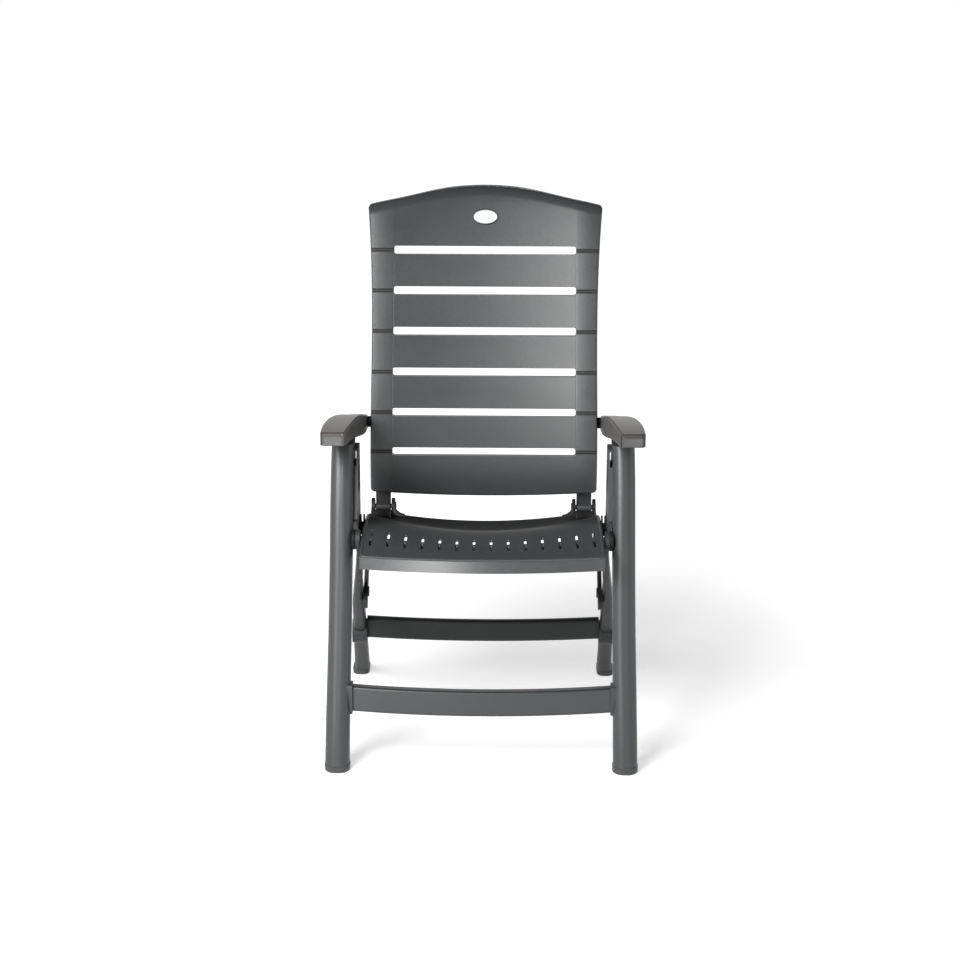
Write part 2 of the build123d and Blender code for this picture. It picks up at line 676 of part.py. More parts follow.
# Pairs of fine grooves that carry each slot on across the rails to the edges
with BuildPart() as rail_grooves:
    for slot_number in range(back_slot_count):
        slot_z = slot_first_z + back_slot_pitch * slot_number
        with BuildSketch(front_plane(0)):
            with Locations((0, slot_z)):
                with GridLocations(back_slot_long + groove_long, groove_pitch, 2, 2):
                    Rectangle(groove_long, groove_wide)
        extrude(amount=-leg_base * 2)
    add(groove_skin, mode=Mode.INTERSECT)
    with Locations((0, groove_deep, 0)):
        add(board, mode=Mode.SUBTRACT)

with BuildPart() as backrest:
    add(board)
    add(outline_prism, mode=Mode.INTERSECT)
    rim = backrest.edges().filter_by(lambda edge: edge.length > back_rail_thick * 2)
    fillet(rim, radius=back_edge_radius)
    add(rear_pocket.part, mode=Mode.SUBTRACT)
    add(rail_grooves.part, mode=Mode.SUBTRACT)
    # Seats for the arm pivot pins, in both sides of the board
    for side in (-1, 1):
        with BuildSketch(side_plane((back_waist_half - pin_seat - pin_gap) * side)):
            with Locations((arm_pivot_y, arm_pivot_z)):
                Circle(arm_pin_radius + pin_gap)
        extrude(amount=(pin_seat + overrun) * side, mode=Mode.SUBTRACT)
    # Slots between the slats
    with BuildSketch(front_plane(0)):
        with Locations((0, slot_first_z + back_slot_pitch * (back_slot_count - 1) / 2)):
            with GridLocations(0, back_slot_pitch, 1, back_slot_count):
                RectangleRounded(back_slot_long, back_slot_wide, back_slot_corner)
    extrude(amount=-leg_base * 2, mode=Mode.SUBTRACT)
save(backrest.part, "backrest", "backrest")

# Bare oval badge in its ring, high on the front of the board
badge_skin = back_board(back_rail_thick + (seat_on_gap + badge_thick) * 2)
badge_seat = back_board(back_rail_thick + seat_on_gap * 2)
ring_skin = back_board(back_rail_thick + (seat_on_gap + badge_ring_thick) * 2)

with BuildPart() as badge:
    with BuildSketch(front_plane(0)):
        with Locations((0, badge_z)):
            Ellipse(badge_wide / 2 - badge_ring_wide, badge_tall / 2 - badge_ring_wide)
    extrude(amount=-badge_reach_y)
    add(badge_skin, mode=Mode.INTERSECT)
    add(badge_seat, mode=Mode.SUBTRACT)
save(badge.part, "badge", "badge")

with BuildPart() as badge_ring:
    with BuildSketch(front_plane(0)):
        with Locations((0, badge_z)):
            Ellipse(badge_wide / 2, badge_tall / 2)
            Ellipse(badge_wide / 2 - badge_ring_wide, badge_tall / 2 - badge_ring_wide, mode=Mode.SUBTRACT)
    extrude(amount=-badge_reach_y)
    add(ring_skin, mode=Mode.INTERSECT)
    add(badge_seat, mode=Mode.SUBTRACT)
save(badge_ring.part, "badge ring", "badge_ring")

# Hinge tongues: screwed to the back of the board, turning between the ears
with BuildPart() as hinge_tongue:
    with BuildSketch(side_plane(tongue_inner_x)):
        with Locations((back_pivot_y, back_pivot_z)):
            Circle(tongue_radius)
        with BuildLine():
            Polyline(
                (back_pivot_y - tongue_radius * 0.9, back_pivot_z),
                (back_low_y + back_rail_thick / 2 - tongue_thick, tongue_top_z - overrun * 2),
                (back_low_y + back_rail_thick / 2 + tongue_thick, tongue_top_z),
                (back_pivot_y + tongue_radius, back_pivot_z),
                close=True,
            )
        make_face()
    extrude(amount=tongue_wide)
    add(tongue_cut, mode=Mode.SUBTRACT)
    with BuildSketch(side_plane(tongue_inner_x - overrun)):
        with Locations((back_pivot_y, back_pivot_z)):
            Circle(back_pin_radius + pin_gap)
    extrude(amount=tongue_wide + overrun * 2, mode=Mode.SUBTRACT)
save_both_sides(hinge_tongue.part, "hinge tongue")

# Arm pivots: pin from the backrest's side through the black bush into the arm
arm_pin = cross_pin(
    arm_pivot_y, arm_pivot_z, back_waist_half - pin_seat, arm_inner_x + arm_boss_thick + side_gap,
    arm_pin_radius, pin_head_radius, pin_head_thick, False,
)
save_both_sides(arm_pin, "arm pivot pin")

with BuildPart() as arm_bush:
    with BuildSketch(side_plane(arm_bush_inner_x)):
        with Locations((arm_pivot_y, arm_pivot_z)):
            Circle(arm_bush_radius)
    extrude(amount=arm_inner_x - side_gap - arm_bush_inner_x)
    fillet(arm_bush.edges(), radius=side_gap * 2)
    with BuildSketch(side_plane(arm_bush_inner_x - overrun)):
        with Locations((arm_pivot_y, arm_pivot_z)):
            Circle(arm_pin_radius + pin_gap)
    extrude(amount=arm_inner_x, mode=Mode.SUBTRACT)
save_both_sides(arm_bush.part, "arm bush")


def arm_plan(inset):
    """Plan view of the right armrest, its edges moved in by inset."""
    with BuildSketch(Plane((0, at(0), 0))) as plan:
        with BuildLine():
            rear = arm_pivot_y + arm_boss_radius
            halfway_y = (arm_rest_y + rear) / 2
            inner = Spline(
                (arm_inner_x + inset, rear - inset),
                (arm_inner_x + arm_flare * 0.05 + inset, halfway_y),
                (arm_inner_x + arm_flare * 0.25 + inset, arm_rest_y),
                (arm_inner_x + arm_flare + inset, arm_front_y + inset),
            )
            front_outer = (arm_inner_x + arm_flare + arm_front_wide - inset, arm_front_y + inset)
            outer = Spline(
                front_outer,
                (arm_inner_x + arm_flare * 0.25 + arm_rest_wide - inset, arm_rest_y),
                (arm_inner_x + arm_flare * 0.05 + arm_rear_wide * 1.12 - inset, halfway_y),
                (arm_inner_x + arm_rear_wide - inset, rear - inset),
            )
            Line(inner @ 1, front_outer)
            Line(outer @ 1, inner @ 0)
        make_face()
    return plan.sketch


def arm_side(inset):
    """Side view of the armrest: its top moved down by inset, its lower edge kept."""
    with BuildSketch(side_plane(arm_inner_x - overrun)) as side:
        with BuildLine():
            top = Spline(
                (arm_front_y - overrun, arm_front_top_z - inset),
                ((arm_front_y + arm_rest_y) / 2, arm_top_z - inset),
                (arm_rest_y, arm_top_z - arm_top_fall * 0.12 - inset),
                ((arm_rest_y + arm_pivot_y) / 2, arm_top_z - arm_top_fall * 0.53 - inset),
                (arm_pivot_y + arm_boss_radius + overrun, arm_top_z - arm_top_fall * 1.08 - inset),
            )
            low = Spline(
                (arm_pivot_y + arm_boss_radius + overrun, arm_pivot_z - arm_boss_radius * 0.85 - inset),
                (arm_pivot_y - arm_boss_radius, arm_pivot_z - arm_boss_radius * 0.8 - inset),
                (arm_rest_y, arm_rest_z + nose_radius + notch_gap - inset),
                (arm_front_y - overrun, arm_front_low_z - inset),
            )
            Line(top @ 1, low @ 0)
            Line(low @ 1, top @ 0)
        make_face()
    return side.sketch


def arm_body(inset):
    """Solid armrest, moved in by inset everywhere but below, where it runs past."""
    plan, side = arm_plan(inset), arm_side(inset)
    with BuildPart() as body:
        extrude(plan, amount=back_top_height)
        extrude(side, amount=arm_front_wide * 3, mode=Mode.INTERSECT)
        fillet(body.edges().filter_by(Axis.Z), radius=arm_corner_radius - inset)
    return body.part


arm_outside, arm_inside = arm_body(0), arm_body(arm_wall)
rack_ceiling = arm_body(arm_wall + seat_on_gap)

with BuildPart() as armrest:
    add(arm_outside)
    fillet(armrest.faces().sort_by(Axis.Z)[-1].edges(), radius=arm_top_radius)
    add(arm_inside, mode=Mode.SUBTRACT)
    # Boss round the pivot pin
    with BuildSketch(side_plane(arm_inner_x)):
        with Locations((arm_pivot_y, arm_pivot_z)):
            Circle(arm_boss_radius - arm_wall)
    extrude(amount=arm_boss_thick)
    with BuildSketch(side_plane(arm_inner_x - overrun)):
        with Locations((arm_pivot_y, arm_pivot_z)):
            Circle(arm_pin_radius + pin_gap)
    extrude(amount=arm_boss_thick + overrun * 2, mode=Mode.SUBTRACT)
save_both_sides(armrest.part, "armrest")


def rest_seen_by_arm(recline):
    """Where the leg's nose lies under the unmoved armrest, at a recline in degrees."""
    turn = radians(recline)
    run, rise = arm_pivot_y - back_pivot_y, arm_pivot_z - back_pivot_z
    pivot_y = back_pivot_y + run * cos(turn) + rise * sin(turn)
    pivot_z = back_pivot_z + rise * cos(turn) - run * sin(turn)
    back_turn = turn * (1 - arm_follow_ratio)
    reach_y, reach_z = arm_rest_y - pivot_y, arm_rest_z - pivot_z
    return (
        arm_pivot_y + reach_y * cos(back_turn) - reach_z * sin(back_turn),
        arm_pivot_z + reach_y * sin(back_turn) + reach_z * cos(back_turn),
    )


# Notch racks under the armrests: a rib whose notches pass just over the leg's nose
with BuildPart() as notch_rack:
    tip_rise = nose_radius + notch_gap
    notch_step = recline_limit / (notch_count - 1)
    notch_places = [rest_seen_by_arm(notch_step * number) for number in range(notch_count)]
    first, middle, last = notch_places[0], rest_seen_by_arm(recline_limit / 2), notch_places[-1]
    with BuildSketch(side_plane(leg_top_x - rack_thick / 2)):
        with BuildLine():
            low = Spline(
                (first[0] + rack_end, first[1] + tip_rise),
                (first[0], first[1] + tip_rise),
                (middle[0], middle[1] + tip_rise),
                (last[0], last[1] + tip_rise),
            )
            Polyline(
                low @ 1,
                (last[0], last[1] + tip_rise + rack_tall),
                (first[0] + rack_end, first[1] + tip_rise + rack_tall),
                low @ 0,
            )
        make_face()
        for notch_y, notch_z in notch_places:
            with Locations((notch_y, notch_z + notch_deep)):
                Circle(tip_rise, mode=Mode.SUBTRACT)
    extrude(amount=rack_thick)
    add(rack_ceiling, mode=Mode.INTERSECT)
save_both_sides(notch_rack.part, "notch rack")
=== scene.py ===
import json
import math
import bpy
import bmesh
from mathutils import Matrix, Vector
from mathutils.bvhtree import BVHTree


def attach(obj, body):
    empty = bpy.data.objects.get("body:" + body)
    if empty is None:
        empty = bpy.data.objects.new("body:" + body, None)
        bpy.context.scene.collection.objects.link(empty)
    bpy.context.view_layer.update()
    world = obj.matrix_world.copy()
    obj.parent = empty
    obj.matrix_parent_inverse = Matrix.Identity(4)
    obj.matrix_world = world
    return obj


# Reclining resin garden armchair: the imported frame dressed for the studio.
# Lengths are metres, and x grows to the right as seen from in front.
# A depth is counted back from the front feet.

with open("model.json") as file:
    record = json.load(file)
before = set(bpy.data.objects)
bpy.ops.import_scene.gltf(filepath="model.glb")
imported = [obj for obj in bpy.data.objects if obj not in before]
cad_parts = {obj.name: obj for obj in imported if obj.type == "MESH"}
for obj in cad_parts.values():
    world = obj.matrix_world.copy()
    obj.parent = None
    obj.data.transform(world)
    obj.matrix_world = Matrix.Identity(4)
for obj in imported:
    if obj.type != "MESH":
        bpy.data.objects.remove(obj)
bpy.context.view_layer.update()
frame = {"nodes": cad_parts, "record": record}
nodes = frame["nodes"]
frontFeetY = frame["record"]["mounts"][0]["pos_m"][1]  # the first mount is a front foot
sideSigns = {"right": 1, "left": -1}
print("frame loaded:", len(nodes), "nodes")


class Sock:  # one output socket, so that masks are written as sums and products
    def __init__(self, tree, out):
        self.tree = tree
        self.out = out

    def mathNode(self, operation, first, second):
        return self.tree.node("ShaderNodeMath", {"operation": operation}, {0: first, 1: second})

    def __add__(self, other):
        return self.mathNode("ADD", self, other)

    def __radd__(self, other):
        return self.mathNode("ADD", other, self)

    def __sub__(self, other):
        return self.mathNode("SUBTRACT", self, other)

    def __rsub__(self, other):
        return self.mathNode("SUBTRACT", other, self)

    def __mul__(self, other):
        return self.mathNode("MULTIPLY", self, other)

    def __rmul__(self, other):
        return self.mathNode("MULTIPLY", other, self)


class NodeTree:  # a material's nodes, made by one method
    def __init__(self, name, owner=None):
        self.material = owner or bpy.data.materials.new(name)
        self.material.use_nodes = True
        self.nodes = self.material.node_tree.nodes
        self.links = self.material.node_tree.links
        self.nodes.clear()

    def node(self, kind, settings=None, inputs=None, output=0):
        made = self.nodes.new(kind)
        for key, value in (settings or {}).items():
            if key == "stops":
                for element, (place, shade) in zip(made.color_ramp.elements, value):
                    element.position = place
                    element.color = (shade, shade, shade, 1)
            else:
                setattr(made, key, value)
        for key, value in (inputs or {}).items():
            if isinstance(value, Sock):
                self.links.new(value.out, made.inputs[key])
            elif isinstance(value, tuple) and len(value) == 3 and made.inputs[key].type == "RGBA":
                made.inputs[key].default_value = (*value, 1)
            else:
                made.inputs[key].default_value = value
        return Sock(self, made.outputs[output]) if len(made.outputs) else made

    def finishWith(self, shader):
        self.node("ShaderNodeOutputMaterial", None, {"Surface": shader})
        return self.material


def objectPlace(tree):
    return tree.node("ShaderNodeTexCoord", None, None, "Object")


def pointiness(tree):  # higher where an edge stands out
    return tree.node("ShaderNodeNewGeometry", None, None, "Pointiness")


def noise(tree, place, scale, detail, roughness):
    return tree.node(
        "ShaderNodeTexNoise", None,
        {"Vector": place, "Scale": scale, "Detail": detail, "Roughness": roughness}, "Fac",
    )


def ramp(tree, factor, start, stop):  # straight from 0 at start to 1 at stop
    return tree.node("ShaderNodeValToRGB", {"stops": [(start, 0.0), (stop, 1.0)]}, {"Fac": factor}, "Color")


def mixColor(tree, factor, first, second):
    return tree.node("ShaderNodeMix", {"data_type": "RGBA"}, {0: factor, 6: first, 7: second}, 2)


def axis(tree, vector, letter):
    return tree.node("ShaderNodeSeparateXYZ", None, {"Vector": vector}, letter)


def bumped(tree, height, depth, strength, normal=None):
    inputs = {"Strength": strength, "Distance": depth, "Height": height}
    if normal:
        inputs["Normal"] = normal
    return tree.node("ShaderNodeBump", None, inputs)


def principled(tree, inputs):
    return tree.node("ShaderNodeBsdfPrincipled", None, inputs)


def unsigned(tree, value):
    return tree.node("ShaderNodeMath", {"operation": "ABSOLUTE"}, {0: value})


def smoothly(tree, value, start, stop, low=0.0, high=1.0):  # low at start, high at stop
    return tree.node(
        "ShaderNodeMapRange", {"interpolation_type": "SMOOTHSTEP"},
        {"Value": value, "From Min": start, "From Max": stop, "To Min": low, "To Max": high},
    )


frontFacing = {  # the normal's y where a front face starts and where it is whole
    "wide": (-0.2, -0.6),
    "narrow": (-0.5, -0.8),
}


def facing(tree, reach):  # 1 on surfaces that look forwards
    normal = tree.node("ShaderNodeTexCoord", None, None, "Normal")
    return smoothly(tree, axis(tree, normal, "Y"), *frontFacing[reach])


backCurves = {
    "railInner": 0.1965,
    "railMiddle": 0.222,
    "railHalf": 0.026,
    "railRise": 0.0014,
    "railLean": 0.055,
    "railBlend": 0.0006,  # over which the slats' form turns into the rails'
    "hollow": 0.018,  # how far the slats' middles lie back
    "creaseHalf": 0.0016,
    "creaseDepth": 0.0002,
    "creaseFade": (0.99, 0.93),  # heights between which the crease grows to its depth
    "crownHalf": 0.2535,
    "crownBend": 0.449,  # share of the fourth power in the top edge's curve
    "shoulder": 1.065,
    "crownRise": 0.041,
    "lipReach": 0.022,
    "lipRadius": 0.03,
}


def backForm(tree, place):  # hollow slats, rounded rails, their crease and the rolled lip at the top
    curves = backCurves
    x, z = unsigned(tree, axis(tree, place, "X")), axis(tree, place, "Z")
    fromInner = x - curves["railInner"]
    across = x * (1.0 / curves["railInner"])
    hollow = across * across * curves["hollow"]
    railWay = (x - curves["railMiddle"]) * (1.0 / curves["railHalf"])
    rail = curves["hollow"] + (1.0 - railWay * railWay) * curves["railRise"]
    rail = rail + fromInner * curves["railLean"]
    onRail = smoothly(tree, fromInner, -curves["railBlend"], curves["railBlend"])
    form = hollow + onRail * (rail - hollow)
    beside = unsigned(tree, fromInner)
    crease = smoothly(tree, beside, curves["creaseHalf"], 0.0) * smoothly(tree, z, *curves["creaseFade"])
    form = form - crease * curves["creaseDepth"]
    wide = x * (1.0 / curves["crownHalf"])
    square = wide * wide
    crown = square * square * curves["crownBend"] - square * (1.0 + curves["crownBend"]) + 1.0
    below = curves["shoulder"] + crown * curves["crownRise"] - z
    lip = tree.node("ShaderNodeMath", {"operation": "MAXIMUM"}, {0: curves["lipReach"] - below, 1: 0.0})
    form = form - lip * lip * (0.5 / curves["lipRadius"])
    return form * facing(tree, "wide")


slots = {  # the backrest's slots
    "firstZ": 0.561,
    "pitch": 0.082502,
    "count": 6,
    "halfLong": 0.1956,
    "halfTall": 0.0087,
    "corner": 0.0045,
    "grooveOff": 0.0023,  # each groove of a pair across the rails, from the slot's middle
}
grooveShade = {
    "across": (0.0023, 0.0017),  # from a groove's middle, unshaded and fully under painted shade
    "inner": (0.1962, 0.1972),  # where the grooves start on the rails
    "belowFirst": (0.02, 0.01),
    "top": (0.993, 0.99),
    "manyPitches": 20.5,  # keeps the count of pitches above nought, with a slot in the middle of each
}
# painted shade on the seat's top
seatShade = {
    "rearFrom": (-0.02, 0.05),  # y over which the painted shade grows towards the rear
    "rearBow": 2.2,
    "rearShare": 0.65,
    "cornerX": (0.175, 0.2),
    "cornerY": (-0.025, 0.02),
    "cornerShare": 0.85,
}
slopes = {  # of the bump that leans each moulding's front faces
    "seatBow": -1.1,  # the seat's lip bulges forwards
    "seatUp": -0.34,  # and looks upwards
    "barUp": -0.12,  # the front crossbar's face looks a little upwards
    "armOut": -0.62,  # the armrests' front faces look outwards
}


def railGrooveShade(tree, place):  # painted shade in the pairs of grooves across the rails
    x, z = unsigned(tree, axis(tree, place, "X")), axis(tree, place, "Z")
    steps = (z - slots["firstZ"]) * (1.0 / slots["pitch"]) + grooveShade["manyPitches"]
    share = tree.node("ShaderNodeMath", {"operation": "FRACT"}, {0: steps})
    fromSlot = unsigned(tree, (share - 0.5) * slots["pitch"])
    beside = unsigned(tree, fromSlot - slots["grooveOff"])
    inGroove = smoothly(tree, beside, *grooveShade["across"]) * smoothly(tree, x, *grooveShade["inner"])
    start, stop = (slots["firstZ"] - below for below in grooveShade["belowFirst"])
    inside = smoothly(tree, z, start, stop) * smoothly(tree, z, *grooveShade["top"])
    return inGroove * facing(tree, "wide") * inside


def seatPaintedShade(tree, place):  # painted shade, darker towards the rear under the backrest, and darkest between the hinge's ears
    x, y = unsigned(tree, axis(tree, place, "X")), axis(tree, place, "Y")
    bowed = y + x * x * seatShade["rearBow"]
    behind = smoothly(tree, bowed, *seatShade["rearFrom"]) * seatShade["rearShare"]
    corner = smoothly(tree, x, *seatShade["cornerX"]) * smoothly(tree, y, *seatShade["cornerY"])
    return behind + corner * (1.0 - behind) * seatShade["cornerShare"]


def seatForm(tree, place):
    x, z = axis(tree, place, "X"), axis(tree, place, "Z")
    return (x * x * slopes["seatBow"] + z * slopes["seatUp"]) * facing(tree, "narrow")


def barForm(tree, place):
    return axis(tree, place, "Z") * slopes["barUp"] * facing(tree, "narrow")


def armForm(tree, place):
    return unsigned(tree, axis(tree, place, "X")) * slopes["armOut"] * facing(tree, "narrow")


resinFinish = {
    "shade": (0.036, 0.0375, 0.039),
    "paleShade": (0.064, 0.066, 0.068),  # scuffed edges and dust
    # the colour of painted shade, and how much rougher the shaded places are
    "dirtShade": (0.005, 0.005, 0.005),
    "dirtRough": 0.3,
    "roughness": 0.36,
    "roughnessSpread": 0.12,
    "grainScale": 1400.0,  # fine moulded grain
    "grainDepth": 0.00006,
    "cloudScale": 9.0,
    "cloudShare": 0.25,
    "specklesPerCloud": 45,
    "speckleShare": 0.1,
    "speckleRough": 0.05,
    "orangePeelScale": 120.0,
    "orangePeelDepth": 0.00025,
    "wornEdge": (0.515, 0.58),
    "wornSpeckle": (0.35, 0.7),
    "wornRough": 0.1,
    "edgeWear": 0.55,
    "gloss": 0.5,
}


def resinMaterial(name, change=None, form=None, shadeMask=None):
    look = dict(resinFinish, **(change or {}))
    tree = NodeTree(name)
    place = objectPlace(tree)
    cloud = noise(tree, place, look["cloudScale"], detail=4.0, roughness=0.6)
    speckle = noise(tree, place, look["cloudScale"] * look["specklesPerCloud"], detail=2.0, roughness=0.6)
    peel = noise(tree, place, look["orangePeelScale"], detail=2.0, roughness=0.5)
    grain = noise(tree, place, look["grainScale"], detail=2.0, roughness=0.7)
    edge = ramp(tree, pointiness(tree), *look["wornEdge"])
    wear = edge * ramp(tree, speckle, *look["wornSpeckle"]) * look["edgeWear"]
    dust = cloud * look["cloudShare"] + speckle * look["speckleShare"]
    color = mixColor(tree, wear, mixColor(tree, dust, look["shade"], look["paleShade"]), look["paleShade"])
    rough = look["roughness"] + (cloud - 0.5) * look["roughnessSpread"]
    rough = rough + (speckle - 0.5) * look["speckleRough"] + wear * look["wornRough"]
    # painted shade: the mask darkens the colour where shade falls
    if shadeMask:
        dark = shadeMask(tree, place)
        color = mixColor(tree, dark, color, look["dirtShade"])
        rough = rough + dark * look["dirtRough"]
    normal = bumped(tree, peel, look["orangePeelDepth"], strength=0.5)
    if form:  # its heights are metres
        normal = bumped(tree, form(tree, place), 1.0, strength=1.0, normal=normal)
    normal = bumped(tree, grain, look["grainDepth"], strength=0.7, normal=normal)
    shader = principled(tree, {
        "Base Color": color, "Roughness": rough, "Normal": normal, "Specular IOR Level": look["gloss"],
    })
    if "frontGloss" in look:  # the front faces are polished smoother than the grained top
        front = principled(tree, {
            "Base Color": color, "Roughness": rough - look["frontSmoother"], "Normal": normal,
            "Specular IOR Level": look["frontGloss"],
        })
        shader = tree.node("ShaderNodeMixShader", None, {0: facing(tree, "narrow"), 1: shader, 2: front})
    return tree.finishWith(shader)


nylonFinish = {  # black bushes and spacers, and the black blocks of painted shade between the hinge's ears
    "shade": (0.009, 0.009, 0.01),
    "paleShade": (0.022, 0.022, 0.022),
    "cloudScale": 60.0,
    "paleCloud": (0.4, 0.75),
    "roughness": 0.5,
    "roughnessSpread": 0.2,
    "grainScale": 1800.0,
    "grainDepth": 0.00008,
    "gloss": 0.13,
}


def nylonMaterial():
    look = nylonFinish
    tree = NodeTree("blackNylon")
    place = objectPlace(tree)
    cloud = noise(tree, place, look["cloudScale"], detail=3.0, roughness=0.6)
    grain = noise(tree, place, look["grainScale"], detail=2.0, roughness=0.6)
    return tree.finishWith(principled(tree, {
        "Base Color": mixColor(tree, ramp(tree, cloud, *look["paleCloud"]), look["shade"], look["paleShade"]),
        "Roughness": look["roughness"] + (cloud - 0.5) * look["roughnessSpread"],
        "Normal": bumped(tree, grain, look["grainDepth"], strength=0.6),
        "Specular IOR Level": look["gloss"],
    }))


steelFinish = {  # black-coated pins and screws, bright where the coat is worn
    "coat": (0.02, 0.02, 0.022),
    "bare": (0.35, 0.35, 0.36),
    "scratchScale": 700.0,
    "scratchDepth": 0.00005,
    "wornEdge": (0.55, 0.65),
    "wornScratch": (0.4, 0.6),
    "coatMetallic": 0.2,
    "roughness": 0.3,
    "scratchRough": 0.2,
}


def steelMaterial():
    look = steelFinish
    tree = NodeTree("coatedSteel")
    scratch = noise(tree, objectPlace(tree), look["scratchScale"], detail=4.0, roughness=0.7)
    bare = ramp(tree, pointiness(tree), *look["wornEdge"]) * ramp(tree, scratch, *look["wornScratch"])
    return tree.finishWith(principled(tree, {
        "Base Color": mixColor(tree, bare, look["coat"], look["bare"]),
        "Metallic": bare * (1.0 - look["coatMetallic"]) + look["coatMetallic"],
        "Roughness": look["roughness"] + scratch * look["scratchRough"],
        "Normal": bumped(tree, scratch, look["scratchDepth"], strength=0.4),
    }))


badgeFinish = {  # bare pale oval under a clear dome
    "shade": (0.62, 0.64, 0.66),
    "paleShade": (0.74, 0.75, 0.77),
    "cloudScale": 80.0,
    "cloudShare": 0.3,
    "roughness": 0.22,
    "cloudRough": 0.08,
    "coat": 0.5,
}


def badgeMaterial():
    look = badgeFinish
    tree = NodeTree("badgePale")
    cloud = noise(tree, objectPlace(tree), look["cloudScale"], detail=2.0, roughness=0.5)
    return tree.finishWith(principled(tree, {
        "Base Color": mixColor(tree, cloud * look["cloudShare"], look["shade"], look["paleShade"]),
        "Roughness": look["roughness"] + cloud * look["cloudRough"],
        "Coat Weight": look["coat"],
    }))


resinChanges = {  # what sets each moulding apart from the plain resin
    "seat": {"roughness": 0.55, "gloss": 0.22, "frontGloss": 0.85, "frontSmoother": 0.22},
    "frame": {"roughness": 0.4},
    # painted shade: a darker copy of the resin for the rear legs, rear crossbar and link plates, which the
    # seat shadows
    "rear": {"shade": (0.015, 0.016, 0.0165), "roughness": 0.46, "gloss": 0.28},
    "fascia": {
        "shade": (0.07, 0.0715, 0.072), "paleShade": (0.11, 0.112, 0.113), "roughness": 0.32, "gloss": 1.0,
    },
    "arm": {"shade": (0.066, 0.062, 0.057), "paleShade": (0.11, 0.104, 0.096)},
    "badge": {"shade": (0.01, 0.011, 0.013), "paleShade": (0.03, 0.03, 0.03)},
}
# the backrest takes painted shade in its rails' grooves
backResin = resinMaterial("backResin", None, backForm, railGrooveShade)
# the seat takes painted shade towards its rear and between the hinge's ears
seatResin = resinMaterial("seatResin", resinChanges["seat"], seatForm, seatPaintedShade)
frameResin = resinMaterial("frameResin", resinChanges["frame"])
rearResin = resinMaterial("rearResin", resinChanges["rear"])
fasciaResin = resinMaterial("fasciaResin", resinChanges["fascia"], armForm)
barResin = resinMaterial("barResin", None, barForm)
armResin = resinMaterial("armResin", resinChanges["arm"], armForm)
blackNylon = nylonMaterial()
coatedSteel = steelMaterial()
slotFinish = {
    "frame_resin": frameResin,
    "seat_resin": seatResin,
    "back_resin": backResin,
    "arm_resin": armResin,
    "black_bushing": blackNylon,
    "pin_steel": coatedSteel,
    "badge_face": badgeMaterial(),
    "badge_rim": resinMaterial("badgeDark", resinChanges["badge"]),
    "foot_resin": frameResin,
}
print("materials made")

rearNodes = ("rear_leg_right", "rear_leg_left", "rear_crossbar", "link_plate_right", "link_plate_left")
nodeFinish = dict({name: rearResin for name in rearNodes}, front_crossbar=barResin)  # not their slot's: the rear frame gets a darker copy as painted shade, the front crossbar its own bump
for subpart in frame["record"]["subparts"]:
    name = subpart["node"]
    materials = nodes[name].data.materials
    materials.clear()
    materials.append(nodeFinish.get(name, slotFinish[subpart["material_slot"]]))
print("frame painted")


def surfaceOf(name):
    mesh = nodes[name].data
    corners = [vertex.co.copy() for vertex in mesh.vertices]
    return BVHTree.FromPolygons(corners, [tuple(face.vertices) for face in mesh.polygons])


farOff = 1.0  # where the rays towards the chair start


def landing(surface, start, way):  # where a ray first meets a surface, and the surface's normal there
    return surface.ray_cast(Vector(start), Vector(way))[:2]


def bridged(form, first, second):  # faces between two closed rows of equally many points
    for index in range(len(first)):
        after = (index + 1) % len(first)
        form.faces.new((first[index], first[after], second[after], second[index]))


def extruded(form, outline, way):  # a closed outline of points, drawn out along a vector
    near = [form.verts.new(Vector(point)) for point in outline]
    far = [form.verts.new(Vector(point) + Vector(way)) for point in outline]
    form.faces.new(near)
    form.faces.new(far[::-1])
    bridged(form, near, far)


def swept(form, sections, closed=False):  # sections of equally many points, joined one to the next
    rows = [[form.verts.new(Vector(point)) for point in section] for section in sections]
    for first, second in zip(rows, rows[1:]):
        bridged(form, first, second)
    if closed:
        bridged(form, rows[-1], rows[0])
    else:
        form.faces.new(rows[0])
        form.faces.new(rows[-1][::-1])


def softened(form, edges, width, segments):
    bmesh.ops.bevel(
        form, geom=edges, offset=width, segments=segments, profile=0.5, affect="EDGES", clamp_overlap=True
    )


def between(low, high, steps):  # evenly spaced values with both ends
    return [low + (high - low) * step / steps for step in range(steps + 1)]


def arc(centre, radius, start, stop, steps):  # points in a plane, with the turns in degrees
    turns = [math.radians(turn) for turn in between(start, stop, steps)]
    return [(centre[0] + radius * math.cos(turn), centre[1] + radius * math.sin(turn)) for turn in turns]


def placed(name, data):
    made = bpy.data.objects.new(name, data)
    bpy.context.collection.objects.link(made)
    return made


def finishPiece(name, form, body, finish, sharp=40.0):
    bmesh.ops.recalc_face_normals(form, faces=form.faces)
    mesh = bpy.data.meshes.new(name)
    form.to_mesh(mesh)
    form.free()
    for face in mesh.polygons:
        face.use_smooth = True
    mesh.set_sharp_from_angle(angle=math.radians(sharp))
    mesh.materials.append(finish)
    piece = placed(name, mesh)
    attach(piece, body)


# Backrest, behind: a moulded rim round each slot and upright ribs between them
backRibs = {
    "rimGap": 0.0007,  # outside the slot
    "rimThick": 0.0024,
    "rimHigh": 0.0065,
    "rimSunk": 0.0015,
    "ribAcross": (-0.0978, 0.0, 0.0978),
    "ribHalf": 0.0013,
    "ribHigh": 0.0055,
    "ribSunk": 0.001,
    "lowest": 0.511,
    "highest": 1.044,
    "cornerSteps": 5,
    "straightSteps": 8,
    "ribSteps": 6,
}


